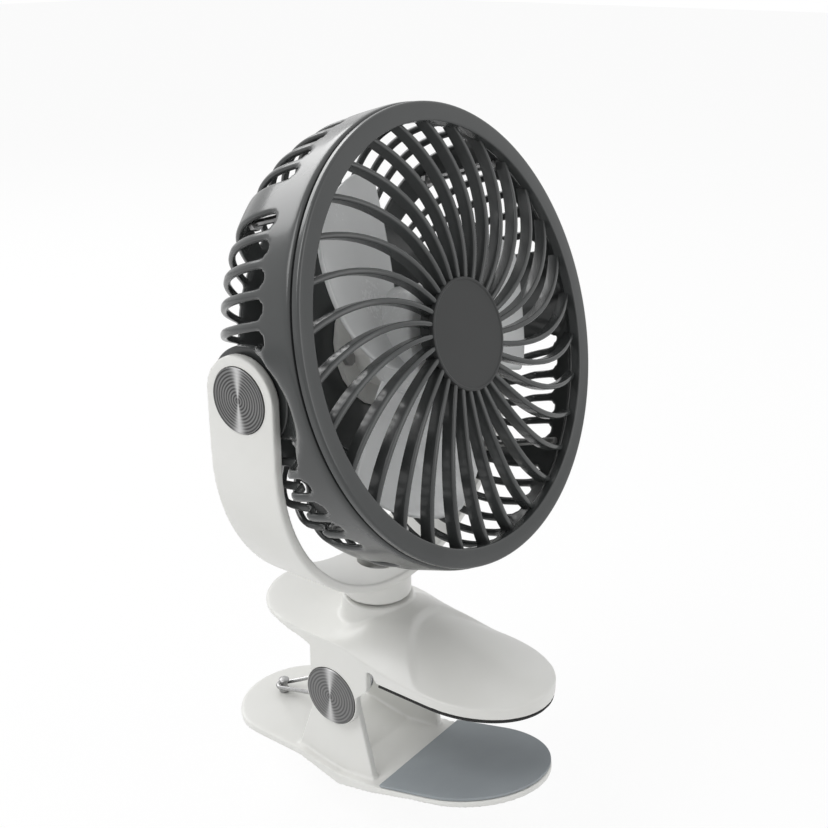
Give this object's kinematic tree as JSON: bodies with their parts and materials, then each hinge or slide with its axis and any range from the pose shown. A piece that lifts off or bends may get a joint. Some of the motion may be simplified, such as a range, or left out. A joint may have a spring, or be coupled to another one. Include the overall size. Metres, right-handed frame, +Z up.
{
  "type": "clip fan",
  "caption": "Clip-on fan: slotted round head with a swept grille, tilting in a U-shaped yoke that turns on a sprung two-jaw clamp.",
  "frame": {"origin": "middle of the upper jaw's pad, on the face that rests on the board", "axes": "+Z up, -Y the way the fan and the jaws face, +X to the right seen from the back"},
  "size_m": [0.162, 0.1476, 0.2675],
  "materials": {
    "grey_plastic": "gloss",
    "white_plastic": "satin gloss",
    "blade_plastic": "satin gloss",
    "spun_metal": "spun, fine rings",
    "spring_steel": "bright drawn wire",
    "steel": "satin",
    "black_rubber": "matte",
    "grey_rubber": "matte",
    "washer_plastic": "matte",
    "cell_wrap": "satin",
    "board_laminate": "satin",
    "lens_plastic": "gloss"
  },
  "bodies": {
    "clamp_base": {"upper_jaw": "white_plastic", "upper_pad": "black_rubber", "neck_washer": "washer_plastic", "nut_washer": "steel", "clamp_axle": "steel", "clamp_cap_left": "spun_metal", "clamp_cap_right": "spun_metal", "clamp_spring": "spring_steel"},
    "lower_lever": {"lower_jaw": "white_plastic", "lower_pad": "grey_rubber", "spring_post": "steel"},
    "yoke_arm": {"yoke": "white_plastic", "tilt_washer_left": "washer_plastic", "tilt_washer_right": "washer_plastic", "pivot_pin_left": "steel", "pivot_pin_right": "steel", "pivot_cap_left": "spun_metal", "pivot_cap_right": "spun_metal", "swivel_washer": "steel", "swivel_screw": "steel", "swivel_nut": "steel"},
    "fan_head": {"front_grille": "grey_plastic", "hub_cap": "grey_plastic", "rear_shell": "grey_plastic", "rear_cover": "grey_plastic", "motor_body": "steel", "motor_mount": "white_plastic", "motor_screw_left": "steel", "motor_screw_right": "steel", "battery_cell": "cell_wrap", "circuit_board": "board_laminate", "charging_socket": "steel", "charge_lens": "lens_plastic", "case_screw_upper_right": "steel", "case_screw_upper_left": "steel", "case_screw_lower_left": "steel", "case_screw_lower_right": "steel", "pod_screw_upper_right": "steel", "pod_screw_upper_left": "steel", "pod_screw_lower_left": "steel", "pod_screw_lower_right": "steel"},
    "fan_rotor": {"impeller": "blade_plastic", "motor_shaft": "steel"},
    "button": {"speed_button": "grey_plastic"}
  },
  "joints": [
    {"name": "yoke_swivel", "type": "hinge", "parent": "clamp_base", "child": "yoke_arm", "pos_m": [0, 0.047, 0.0229], "axis": [0, 0, 1], "continuous": true},
    {"name": "head_tilt", "type": "hinge", "parent": "yoke_arm", "child": "fan_head", "pos_m": [0, 0.047, 0.1247], "axis": [-1, 0, 0], "range_deg": [-10, 73]},
    {"name": "fan_spin", "type": "hinge", "parent": "fan_head", "child": "fan_rotor", "pos_m": [0, 0.047, 0.1247], "axis": [0, -0.9563, 0.2924], "continuous": true},
    {"name": "button_press", "type": "slide", "parent": "fan_head", "child": "button", "axis": [0, -0.9563, 0.2924], "range_m": [0, 0.0008], "stiffness_N_per_m": 600, "springref_m": -0.001},
    {"name": "jaw_pivot", "type": "hinge", "parent": "clamp_base", "child": "lower_lever", "pos_m": [0, 0.0495, -0.013], "axis": [-1, 0, 0], "range_deg": [-14, 20.4], "stiffness_Nm_per_rad": 0.5, "deforming": ["clamp_spring"]}
  ]
}
